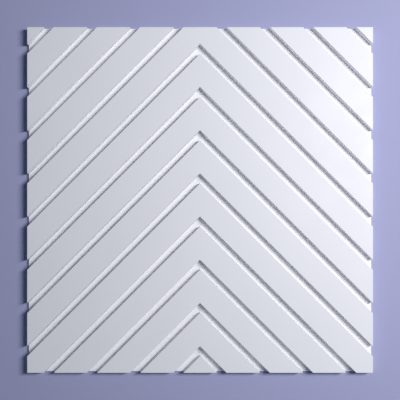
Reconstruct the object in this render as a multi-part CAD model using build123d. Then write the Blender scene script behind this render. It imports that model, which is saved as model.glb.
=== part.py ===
"""Square relief wall panel with mitred chevron grooves, moulded in one piece.

The panel lies on its flat back with the relief upwards. The origin is the middle of the back,
+X and +Y run along the sides, and the chevrons point along +Y. Every groove is the same V: two
straight limbs at 45 degrees that meet in a sharp mitre on the centre line. The spacing divides
the side exactly, so the grooves run on into the panels that are butted against it.
"""

import math
import os

from build123d import *

# Driving dimensions, in millimetres and degrees.
PANEL_SIDE = 600.0
GROOVES_PER_SIDE = 8
GROOVE_WIDTH = 12.5
GROOVE_DEPTH = 11.5
BASE_THICKNESS = 4.5
WALL_DRAFT = 2.0
LIP_RADIUS = 0.3
ROOT_RADIUS = 0.6
RIM_BEVEL = 0.5

# What follows from them.
THICKNESS = BASE_THICKNESS + GROOVE_DEPTH
HALF_SIDE = PANEL_SIDE / 2
GROOVE_SPACING = PANEL_SIDE / GROOVES_PER_SIDE
FLOOR_WIDTH = GROOVE_WIDTH - 2 * GROOVE_DEPTH * math.tan(math.radians(WALL_DRAFT))
STOCK_MARGIN = GROOVE_SPACING

# The left limbs climb to the right at 45 degrees, and their section is drawn across them.
DIAGONAL = math.sqrt(2)
LIMB_SECTION = Plane(origin=(0, 0, 0), x_dir=(-1, 1, 0), z_dir=(1, 1, 0))


def apex_heights():
    """Y of each chevron's point, from those above the top edge down to the last on the panel."""
    above_top = math.ceil(GROOVES_PER_SIDE / 2)
    return [
        HALF_SIDE - GROOVE_SPACING * (row + 0.5)
        for row in range(-above_top, GROOVES_PER_SIDE)
    ]


def groove_outline():
    """One groove across its run: a flat floor between two steep walls, open at the face."""
    return Polygon(
        (-GROOVE_WIDTH / 2, THICKNESS),
        (-FLOOR_WIDTH / 2, BASE_THICKNESS),
        (FLOOR_WIDTH / 2, BASE_THICKNESS),
        (GROOVE_WIDTH / 2, THICKNESS),
        align=None,
    )


def relief_section():
    """The left half's section, square to its limbs, with every lip and root rounded."""
    low = -HALF_SIDE / DIAGONAL - STOCK_MARGIN
    high = PANEL_SIDE / DIAGONAL + STOCK_MARGIN
    section = Pos((low + high) / 2, THICKNESS / 2) * Rectangle(high - low, THICKNESS)
    for apex in apex_heights():
        section -= Pos(apex / DIAGONAL, 0) * groove_outline()
    lips = section.vertices().group_by(Axis.Y)[-1].sort_by(Axis.X)[1:-1]
    section = fillet(lips, LIP_RADIUS)
    roots = section.vertices().filter_by_position(
        Axis.Y, BASE_THICKNESS - ROOT_RADIUS / 2, BASE_THICKNESS + ROOT_RADIUS / 2
    )
    return fillet(roots, ROOT_RADIUS)


def relief_stock():
    """Grooved stock larger than the panel: the left half, and its mirror image beyond the mitre."""
    run = PANEL_SIDE * DIAGONAL + STOCK_MARGIN
    limbs = extrude(LIMB_SECTION * relief_section(), amount=run, both=True)
    reach = HALF_SIDE + STOCK_MARGIN / 4
    left_side = Pos(-reach / 2, 0, THICKNESS / 2) * Box(reach, 2 * reach, 2 * THICKNESS)
    left = limbs & left_side
    return left + mirror(left, about=Plane.YZ)


def panel_outline():
    """What the stock is trimmed to: upright sides, and a rim bevel that leans in past the face."""
    square = Rectangle(PANEL_SIDE, PANEL_SIDE)
    bevel_start = THICKNESS - RIM_BEVEL
    sides = extrude(square, amount=bevel_start, both=True)
    rim = extrude(Pos(0, 0, bevel_start) * square, amount=2 * RIM_BEVEL, taper=45)
    return sides + rim


def wall_panel():
    """The finished panel, one solid."""
    return relief_stock() & panel_outline()


os.makedirs("parts", exist_ok=True)
panel = wall_panel()
panel.label = "wall_panel"
export_step(panel, "parts/wall_panel.step")
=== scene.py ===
"""Studio scene of a square relief wall panel with mitred chevron grooves.

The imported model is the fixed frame. The panel is modelled in its place with rounded lips and roots,
dressed in a matt white primer with a sanded back, laid on a pale floor and seen square-on from above.
Lengths are metres and angles are degrees.
"""

import logging
import math
from dataclasses import dataclass
from enum import Enum
from typing import Any

import bmesh
import bpy
from mathutils import Matrix, Vector

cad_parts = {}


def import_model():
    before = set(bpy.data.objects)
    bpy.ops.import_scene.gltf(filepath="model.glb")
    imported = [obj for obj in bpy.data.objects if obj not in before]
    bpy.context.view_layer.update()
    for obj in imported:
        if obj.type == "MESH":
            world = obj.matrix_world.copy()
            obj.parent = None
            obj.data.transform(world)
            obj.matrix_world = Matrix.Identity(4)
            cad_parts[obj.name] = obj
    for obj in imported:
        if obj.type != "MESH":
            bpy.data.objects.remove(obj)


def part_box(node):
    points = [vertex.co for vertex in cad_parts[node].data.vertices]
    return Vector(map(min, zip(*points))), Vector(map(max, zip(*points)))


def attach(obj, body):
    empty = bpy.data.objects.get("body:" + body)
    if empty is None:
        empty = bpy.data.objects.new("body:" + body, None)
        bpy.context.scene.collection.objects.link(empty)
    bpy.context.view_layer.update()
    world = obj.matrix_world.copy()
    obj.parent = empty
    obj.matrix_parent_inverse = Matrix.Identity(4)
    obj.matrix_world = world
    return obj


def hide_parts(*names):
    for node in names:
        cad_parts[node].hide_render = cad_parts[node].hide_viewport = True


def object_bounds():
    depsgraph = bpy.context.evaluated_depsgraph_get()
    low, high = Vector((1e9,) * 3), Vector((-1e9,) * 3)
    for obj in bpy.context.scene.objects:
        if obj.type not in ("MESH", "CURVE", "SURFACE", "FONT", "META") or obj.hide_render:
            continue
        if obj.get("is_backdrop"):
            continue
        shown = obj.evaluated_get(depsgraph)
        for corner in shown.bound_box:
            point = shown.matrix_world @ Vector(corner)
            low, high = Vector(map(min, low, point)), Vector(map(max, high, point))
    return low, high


Colour = tuple[float, float, float]

LOG = logging.getLogger("wall_panel_scene")
TOUCHING = 1e-6
UP = Vector((0.0, 0.0, 1.0))


class Grain(Enum):
    """How the skin of a finish feels."""

    STIPPLED = "stippled"
    SANDED = "sanded"


class Zone(Enum):
    """The panel's material slots, by the side of it that they cover."""

    FACE = 0
    BACK = 1


class Side(Enum):
    """The panel's four sides, each with the way that it faces."""

    RIGHT = (1.0, 0.0, 0.0)
    LEFT = (-1.0, 0.0, 0.0)
    TOP = (0.0, 1.0, 0.0)
    BOTTOM = (0.0, -1.0, 0.0)

    @property
    def outward(self) -> Vector:
        """Returns the unit vector out of the panel through this side."""
        return Vector(self.value)


def rgba(colour: Colour) -> tuple[float, float, float, float]:
    """Returns a linear colour with full opacity."""
    return (*colour, 1.0)


def new_object(name: str, bm: bmesh.types.BMesh) -> bpy.types.Object:
    """Turns a finished bmesh into an object at the origin, and frees the bmesh.

    Args:
        name: Name of the object and of its mesh.
        bm: The finished bmesh.

    Returns:
        The object, linked to the scene.
    """
    mesh = bpy.data.meshes.new(name)
    bm.to_mesh(mesh)
    bm.free()
    piece = bpy.data.objects.new(name, mesh)
    bpy.context.scene.collection.objects.link(piece)
    LOG.info("%s: %d vertices, %d faces", name, len(mesh.vertices), len(mesh.polygons))
    return piece


@dataclass(frozen=True)
class NodeGraph:
    """A node tree with short ways to add and join nodes.

    Args:
        tree: The node tree that is written to.
    """

    tree: bpy.types.NodeTree

    def add(
        self, kind: str, values: dict[str | int, Any] | None = None, **settings: Any
    ) -> bpy.types.Node:
        """Adds one node.

        Args:
            kind: The node's type name.
            values: Inputs by name or number, each with a constant, or an output to join to it.
            **settings: Properties of the node itself.

        Returns:
            The new node.
        """
        node = self.tree.nodes.new(kind)
        for name, setting in settings.items():
            setattr(node, name, setting)
        for name, value in (values or {}).items():
            if isinstance(value, bpy.types.NodeSocket):
                self.tree.links.new(value, node.inputs[name])
            else:
                node.inputs[name].default_value = value
        return node

    def noise(
        self, place: bpy.types.NodeSocket, size: float, detail: float
    ) -> bpy.types.NodeSocket:
        """Adds a noise pattern.

        Args:
            place: Coordinates of the surface.
            size: Width of one patch.
            detail: How many finer layers break up the patches.

        Returns:
            A socket that goes from 0 to 1 with the pattern.
        """
        pattern = self.add(
            "ShaderNodeTexNoise", {"Vector": place, "Scale": 1 / size, "Detail": detail}
        )
        return pattern.outputs["Fac"]

    def showing_rays(self) -> bpy.types.NodeSocket:
        """Tells the rays that show a backdrop from those that light the object.

        Returns:
            A socket that is 1 for camera, glossy and transmission rays, and 0 for the others.
        """
        path = self.add("ShaderNodeLightPath")
        showing = path.outputs["Is Camera Ray"]
        for kind in ("Is Glossy Ray", "Is Transmission Ray"):
            joined = self.add(
                "ShaderNodeMath", {0: showing, 1: path.outputs[kind]}, operation="MAXIMUM"
            )
            showing = joined.outputs["Value"]
        return showing


@dataclass(frozen=True)
class MattFinish:
    """A matt coat with faint clouding, uneven sheen and a fine skin.

    Args:
        name: The material's name.
        light: Linear colour of the lightest patches.
        dark: Linear colour of the darkest patches.
        smoothest: Lowest roughness.
        roughest: Highest roughness.
        grain: Which skin the coat has.
        grain_size: Width of one grain.
        grain_height: Height of the skin's relief.
        cloud_size: Width of one colour patch.
        cloud_detail: How many finer layers break up the colour patches.
        sheen_size: Width of one patch of sheen.
        sheen_detail: How many finer layers break up the patches of sheen.
        grain_detail: How many finer layers break up the grains.
        patch_spread: Noise values that the two ends of a range of patches stand for.
        stroke_stretch: Length of a sanding stroke in widths.
        stroke_turn: Angle of the sanding strokes from the panel's sides.
    """

    name: str
    light: Colour
    dark: Colour
    smoothest: float
    roughest: float
    grain: Grain
    grain_size: float
    grain_height: float
    cloud_size: float = 0.11
    cloud_detail: float = 4.0
    sheen_size: float = 0.03
    sheen_detail: float = 3.0
    grain_detail: float = 2.0
    patch_spread: tuple[float, float] = (0.3, 0.7)
    stroke_stretch: float = 14.0
    stroke_turn: float = 28.0

    def material(self) -> bpy.types.Material:
        """Makes the material.

        Returns:
            A material that reads Object coordinates only.
        """
        material = bpy.data.materials.new(self.name)
        material.use_nodes = True
        material.node_tree.nodes.clear()
        graph = NodeGraph(material.node_tree)
        place = graph.add("ShaderNodeTexCoord").outputs["Object"]
        shader = graph.add(
            "ShaderNodeBsdfPrincipled",
            {
                "Base Color": self._colour(graph, place),
                "Roughness": self._roughness(graph, place),
                "Normal": self._skin(graph, place),
            },
        )
        graph.add("ShaderNodeOutputMaterial", {"Surface": shader.outputs["BSDF"]})
        return material

    def _colour(self, graph: NodeGraph, place: bpy.types.NodeSocket) -> bpy.types.NodeSocket:
        """Clouds the coat between its two tones.

        Args:
            graph: The material's nodes.
            place: Coordinates of the surface.

        Returns:
            The colour socket.
        """
        clouds = graph.noise(place, self.cloud_size, self.cloud_detail)
        ramp = graph.add("ShaderNodeValToRGB", {"Fac": clouds})
        for stop, position, tone in zip(
            ramp.color_ramp.elements, self.patch_spread, (self.dark, self.light)
        ):
            stop.position = position
            stop.color = rgba(tone)
        return ramp.outputs["Color"]

    def _roughness(self, graph: NodeGraph, place: bpy.types.NodeSocket) -> bpy.types.NodeSocket:
        """Varies the sheen from patch to patch.

        Args:
            graph: The material's nodes.
            place: Coordinates of the surface.

        Returns:
            The roughness socket.
        """
        patches = graph.noise(place, self.sheen_size, self.sheen_detail)
        spread = graph.add(
            "ShaderNodeMapRange",
            {
                "Value": patches,
                "From Min": self.patch_spread[0],
                "From Max": self.patch_spread[1],
                "To Min": self.smoothest,
                "To Max": self.roughest,
            },
        )
        return spread.outputs["Result"]

    def _skin(self, graph: NodeGraph, place: bpy.types.NodeSocket) -> bpy.types.NodeSocket:
        """Raises the fine skin of the coat.

        Args:
            graph: The material's nodes.
            place: Coordinates of the surface.

        Returns:
            The normal socket.
        """
        if self.grain is Grain.SANDED:
            strokes = graph.add(
                "ShaderNodeMapping",
                {
                    "Vector": place,
                    "Rotation": (0.0, 0.0, math.radians(self.stroke_turn)),
                    "Scale": (1.0, self.stroke_stretch, 1.0),
                },
            )
            place = strokes.outputs["Vector"]
        grains = graph.noise(place, self.grain_size, self.grain_detail)
        bump = graph.add("ShaderNodeBump", {"Height": grains, "Distance": self.grain_height})
        return bump.outputs["Normal"]


@dataclass(frozen=True)
class FloorPaint:
    """Plain pale paint that passes into the backdrop's colour well away from the object.

    Args:
        name: The material's name.
        colour: Linear colour of the paint.
        backdrop: Linear colour that shows past the fade.
        roughness: Roughness of the paint.
        gloss: Level of the paint's reflections, where 0.5 leaves them as the shader has them.
        fade_from: Distance from the origin where the backdrop starts to show.
        fade_to: Distance from the origin where only the backdrop shows.
    """

    name: str
    colour: Colour
    backdrop: Colour
    roughness: float = 0.9
    gloss: float = 0.2
    fade_from: float = 0.5
    fade_to: float = 1.8

    def material(self) -> bpy.types.Material:
        """Makes the material.

        Returns:
            A matt paint near the origin that glows like the backdrop far from it.
        """
        material = bpy.data.materials.new(self.name)
        material.use_nodes = True
        material.node_tree.nodes.clear()
        graph = NodeGraph(material.node_tree)
        paint = graph.add(
            "ShaderNodeBsdfPrincipled",
            {
                "Base Color": rgba(self.colour),
                "Roughness": self.roughness,
                "Specular IOR Level": self.gloss,
            },
        )
        glow = graph.add("ShaderNodeEmission", {"Color": rgba(self.backdrop)})
        mix = graph.add(
            "ShaderNodeMixShader",
            {0: self._fade(graph), 1: paint.outputs["BSDF"], 2: glow.outputs["Emission"]},
        )
        graph.add("ShaderNodeOutputMaterial", {"Surface": mix.outputs["Shader"]})
        # The glow is there to be seen, so no light is sampled from it.
        material.cycles.emission_sampling = "NONE"
        return material

    def _fade(self, graph: NodeGraph) -> bpy.types.NodeSocket:
        """Works out how much of the backdrop shows.

        Args:
            graph: The material's nodes.

        Returns:
            A socket that grows from 0 to 1 outwards, for the rays that show the floor.
        """
        place = graph.add("ShaderNodeTexCoord").outputs["Object"]
        distance = graph.add("ShaderNodeVectorMath", {0: place}, operation="LENGTH")
        growth = graph.add(
            "ShaderNodeMapRange",
            {
                "Value": distance.outputs["Value"],
                "From Min": self.fade_from,
                "From Max": self.fade_to,
            },
            interpolation_type="SMOOTHSTEP",
        )
        shown = graph.add(
            "ShaderNodeMath",
            {0: growth.outputs["Result"], 1: graph.showing_rays()},
            operation="MULTIPLY",
        )
        return shown.outputs["Value"]


BACKDROP: Colour = (0.62, 0.63, 0.84)
WHITE_PRIMER = MattFinish(
    name="white_primer",
    light=(0.92, 0.923, 0.935),
    dark=(0.90, 0.903, 0.915),
    smoothest=0.45,
    roughest=0.55,
    grain=Grain.STIPPLED,
    grain_size=0.004,
    grain_height=0.000012,
)
SANDED_BACK = MattFinish(
    name="sanded_back",
    light=(0.76, 0.76, 0.77),
    dark=(0.70, 0.70, 0.71),
    smoothest=0.70,
    roughest=0.85,
    grain=Grain.SANDED,
    grain_size=0.006,
    grain_height=0.00008,
)
PALE_FLOOR = FloorPaint(name="floor_paint", colour=(0.42, 0.43, 0.64), backdrop=BACKDROP)


@dataclass
class WallPanel:
    """The moulded panel: a flat-backed slab with mitred chevron grooves across its face.

    Args:
        low: Lowest corner of the panel's node.
        high: Highest corner of the panel's node.
        node: The frame's node that the panel stands for.
        slot: The record's material slot; not used.
        body: The frame's body that the panel rides on.
        grooves_per_side: How many grooves meet each upright side.
        groove_width: Width of a groove at the face.
        groove_depth: Depth of a groove.
        wall_draft: Lean of a groove's walls.
        lip_radius: Radius along a groove's lips.
        root_radius: Radius along the foot of a groove's walls.
        rim_bevel: Height of the bevel round the face.
        round_segments: Facets across a rounded edge.
        stock_reach: How far the swept stock runs from the middle, in half sides of the panel.
    """

    low: Vector
    high: Vector
    node: str = "wall_panel"
    slot: str = "matt_white"
    body: str = "root"
    grooves_per_side: int = 8
    groove_width: float = 0.0125
    groove_depth: float = 0.0115
    wall_draft: float = 2.0
    lip_radius: float = 0.0003
    root_radius: float = 0.0006
    rim_bevel: float = 0.0005
    round_segments: int = 6
    stock_reach: float = 4.0

    def __post_init__(self) -> None:
        """Works out the sizes that follow from the node's box."""
        self.half_side: float = (self.high.x - self.low.x) / 2
        self.face: float = self.high.z
        self.floor: float = self.high.z - self.groove_depth
        self.spacing: float = 2 * self.half_side / self.grooves_per_side
        lean = self.groove_depth * math.tan(math.radians(self.wall_draft))
        self.floor_width: float = self.groove_width - 2 * lean
        self.along: Vector = Vector((1, 1, 0)).normalized()
        self.across: Vector = Vector((-1, 1, 0)).normalized()

    def build(self) -> bpy.types.Object:
        """Models the panel as one closed mesh in the node's place.

        Returns:
            The panel's object.
        """
        bm = bmesh.new()
        self._sweep_section(bm)
        self._round_edges(bm, self.face, self.lip_radius)
        self._round_edges(bm, self.floor, self.root_radius)
        self._trim_left_half(bm)
        self._mirror(bm)
        self._drop_sides(bm)
        self._bevel_rim(bm)
        bmesh.ops.recalc_face_normals(bm, faces=bm.faces[:])
        for face in bm.faces:
            on_back = face.calc_center_median().z < self.low.z + TOUCHING
            face.material_index = (Zone.BACK if on_back else Zone.FACE).value
        return new_object("panel", bm)

    def dress(self, panel: bpy.types.Object, finishes: dict[Zone, MattFinish]) -> None:
        """Gives the panel its finishes and its place in the frame.

        Args:
            panel: The panel's object.
            finishes: The finish of each zone.
        """
        for zone in Zone:
            panel.data.materials.append(finishes[zone].material())
        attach(panel, self.body)
        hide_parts(self.node)

    def _groove_offsets(self) -> list[float]:
        """Returns how far across the left half each groove's centre line lies, lowest first."""
        above_top = math.ceil(self.grooves_per_side / 2)
        rows = range(-above_top, self.grooves_per_side)
        apexes = [self.half_side - self.spacing * (row + 0.5) for row in rows]
        return sorted(apex * self.across.y for apex in apexes)

    def _sweep_section(self, bm: bmesh.types.BMesh) -> None:
        """Draws the section across the left limbs and sweeps it along them, past the panel's edges.

        Args:
            bm: The mesh that is built.
        """
        reach = self.stock_reach * self.half_side
        points = [(-reach, self.face)]
        for offset in self._groove_offsets():
            points += [
                (offset - self.groove_width / 2, self.face),
                (offset - self.floor_width / 2, self.floor),
                (offset + self.floor_width / 2, self.floor),
                (offset + self.groove_width / 2, self.face),
            ]
        points.append((reach, self.face))
        chain = [
            bm.verts.new(self.across * offset + UP * height - self.along * reach)
            for offset, height in points
        ]
        section = [bm.edges.new(pair) for pair in zip(chain, chain[1:])]
        swept = bmesh.ops.extrude_edge_only(bm, edges=section)["geom"]
        ends = [item for item in swept if isinstance(item, bmesh.types.BMVert)]
        bmesh.ops.translate(bm, verts=ends, vec=2 * reach * self.along)

    def _round_edges(self, bm: bmesh.types.BMesh, height: float, radius: float) -> None:
        """Rounds the swept edges that lie at one height.

        Args:
            bm: The mesh that is built.
            height: Height of the edges.
            radius: Radius that they get.
        """
        edges = [
            edge
            for edge in bm.edges
            if not edge.is_boundary
            and all(abs(vert.co.z - height) < TOUCHING for vert in edge.verts)
        ]
        turn = math.radians(90 - self.wall_draft)
        rounded = bmesh.ops.bevel(
            bm,
            geom=edges,
            offset=radius * math.tan(turn / 2),
            offset_type="OFFSET",
            affect="EDGES",
            segments=self.round_segments,
            profile=0.5,
            material=-1,
            clamp_overlap=False,
        )
        for face in rounded["faces"]:
            face.smooth = True

    def _cut(
        self, bm: bmesh.types.BMesh, point: Vector, normal: Vector
    ) -> list[bmesh.types.BMEdge]:
        """Cuts the mesh with a plane and removes what lies beyond it.

        Args:
            bm: The mesh that is cut.
            point: A point on the plane.
            normal: The plane's normal, towards what is removed.

        Returns:
            The edges of the cut.
        """
        cut = bmesh.ops.bisect_plane(
            bm,
            geom=[*bm.verts, *bm.edges, *bm.faces],
            dist=TOUCHING,
            plane_co=point,
            plane_no=normal,
            clear_outer=True,
        )
        return [item for item in cut["geom_cut"] if isinstance(item, bmesh.types.BMEdge)]

    def _trim_left_half(self, bm: bmesh.types.BMesh) -> None:
        """Trims the swept face to the left half of the panel.

        Args:
            bm: The mesh that is built.
        """
        for side in (Side.LEFT, Side.TOP, Side.BOTTOM):
            self._cut(bm, side.outward * self.half_side, side.outward)
        self._cut(bm, Vector(), Side.RIGHT.outward)

    def _mirror(self, bm: bmesh.types.BMesh) -> None:
        """Adds the right half, so that the limbs meet in mitres on the centre line.

        Args:
            bm: The mesh that is built.
        """
        bmesh.ops.mirror(
            bm,
            geom=[*bm.verts, *bm.edges, *bm.faces],
            matrix=Matrix.Identity(4),
            merge_dist=TOUCHING,
            axis="X",
        )

    def _drop_sides(self, bm: bmesh.types.BMesh) -> None:
        """Drops the four sides from the face's outline and closes the back.

        Args:
            bm: The mesh that is built.
        """
        outline = [edge for edge in bm.edges if edge.is_boundary]
        dropped = bmesh.ops.extrude_edge_only(bm, edges=outline)["geom"]
        feet = [item for item in dropped if isinstance(item, bmesh.types.BMVert)]
        bmesh.ops.scale(bm, vec=(1, 1, 0), verts=feet)
        bmesh.ops.translate(bm, vec=UP * self.low.z, verts=feet)
        back_outline = [edge for edge in bm.edges if edge.is_boundary]
        back = bmesh.ops.contextual_create(bm, geom=back_outline)["faces"]
        walls = [item for item in dropped if isinstance(item, bmesh.types.BMFace)]
        for face in (*walls, *back):
            face.smooth = False
        for side in Side:
            plane = self.half_side - TOUCHING
            strips = [
                wall
                for wall in walls
                if wall.is_valid and wall.calc_center_median().dot(side.outward) > plane
            ]
            bmesh.ops.dissolve_faces(bm, faces=strips, use_verts=True)

    def _bevel_rim(self, bm: bmesh.types.BMesh) -> None:
        """Takes the sharp corner off the rim of the face.

        Args:
            bm: The mesh that is built.
        """
        for side in Side:
            point = side.outward * self.half_side + UP * (self.face - self.rim_bevel)
            rim = self._cut(bm, point, (side.outward + UP).normalized())
            bmesh.ops.edgeloop_fill(bm, edges=rim)


@dataclass
class Studio:
    """Floor, key lamp, surrounding light and camera.

    Args:
        low: Lowest corner of the object.
        high: Highest corner of the object.
        floor_reach: Half the floor's side.
        floor_gap: Gap between the floor and the object, too small to see.
        camera_height: Height of the camera above the object's face.
        sensor: Width of the camera's sensor in millimetres.
        face_share: Share of the picture's width that the face fills.
        key_place: Place of the key lamp from the middle of the face.
        key_width: Width of the key lamp's softbox.
        key_length: Length of the key lamp's softbox.
        key_power: Power of the key lamp in watts.
        key_colour: Colour of the key lamp.
        ambient_colour: Colour of the light from all round.
        ambient_strength: Strength of the light from all round.
    """

    low: Vector
    high: Vector
    floor_reach: float = 12.0
    floor_gap: float = 0.0003
    camera_height: float = 1.06
    sensor: float = 36.0
    face_share: float = 0.865
    key_place: tuple[float, float, float] = (1.0, 0.325, 1.36)
    key_width: float = 0.36
    key_length: float = 0.95
    key_power: float = 26.5
    key_colour: Colour = (0.98, 0.96, 1.0)
    ambient_colour: Colour = (0.46, 0.72, 1.0)
    ambient_strength: float = 0.105

    def build(self, paint: FloorPaint) -> None:
        """Sets the stage round the object.

        Args:
            paint: The floor's paint, whose backdrop also fills the distance.
        """
        self._floor(paint)
        self._key_lamp()
        self._surroundings(paint.backdrop)
        self._camera()
        bpy.context.scene.view_settings.view_transform = "Standard"

    def _floor(self, paint: FloorPaint) -> None:
        """Lays the floor just under the object.

        Args:
            paint: The floor's paint.
        """
        bm = bmesh.new()
        bmesh.ops.create_grid(bm, x_segments=1, y_segments=1, size=self.floor_reach)
        bmesh.ops.translate(bm, verts=bm.verts[:], vec=UP * (self.low.z - self.floor_gap))
        floor = new_object("floor", bm)
        floor.data.materials.append(paint.material())
        floor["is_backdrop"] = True

    def _key_lamp(self) -> None:
        """Hangs the key lamp's upright softbox on the right, aimed at the middle of the face."""
        light = bpy.data.lights.new("key", "AREA")
        light.shape = "ELLIPSE"
        light.size = self.key_width
        light.size_y = self.key_length
        light.energy = self.key_power
        light.color = self.key_colour
        lamp = bpy.data.objects.new("key", light)
        place = Vector(self.key_place)
        lamp.location = UP * self.high.z + place
        lamp.rotation_euler = (-place).to_track_quat("-Z", "Y").to_euler()
        lamp.visible_camera = False
        bpy.context.scene.collection.objects.link(lamp)
        LOG.info("key lamp: %.1f W", self.key_power)

    def _surroundings(self, backdrop: Colour) -> None:
        """Sets the dim light from all round, and the backdrop that shows past the floor.

        Args:
            backdrop: Linear colour of the backdrop.
        """
        world = bpy.data.worlds.new("surroundings")
        world.use_nodes = True
        world.node_tree.nodes.clear()
        graph = NodeGraph(world.node_tree)
        ambient = graph.add(
            "ShaderNodeBackground",
            {"Color": rgba(self.ambient_colour), "Strength": self.ambient_strength},
        )
        distance = graph.add("ShaderNodeBackground", {"Color": rgba(backdrop)})
        mix = graph.add(
            "ShaderNodeMixShader",
            {
                0: graph.showing_rays(),
                1: ambient.outputs["Background"],
                2: distance.outputs["Background"],
            },
        )
        graph.add("ShaderNodeOutputWorld", {"Surface": mix.outputs["Shader"]})
        bpy.context.scene.world = world
        LOG.info("ambient light: strength %.2f", self.ambient_strength)

    def _camera(self) -> None:
        """Hangs the camera square-on above the middle of the face, with the chevrons pointing up."""
        data = bpy.data.cameras.new("camera")
        camera = bpy.data.objects.new("camera", data)
        bpy.context.scene.collection.objects.link(camera)
        picture_width = (self.high.x - self.low.x) / self.face_share
        data.sensor_width = self.sensor
        data.lens = self.sensor * self.camera_height / picture_width
        camera.location = UP * (self.high.z + self.camera_height)
        bpy.context.scene.camera = camera
        LOG.info("camera: %.1f mm lens", data.lens)


def main() -> None:
    """Builds the panel and its studio."""
    logging.basicConfig(level=logging.INFO, format="%(name)s: %(message)s")
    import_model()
    cad_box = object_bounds()
    wall_panel = WallPanel(*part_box("wall_panel"))
    panel = wall_panel.build()
    wall_panel.dress(panel, {Zone.FACE: WHITE_PRIMER, Zone.BACK: SANDED_BACK})
    Studio(*cad_box).build(PALE_FLOOR)


if __name__ == "__main__":
    main()
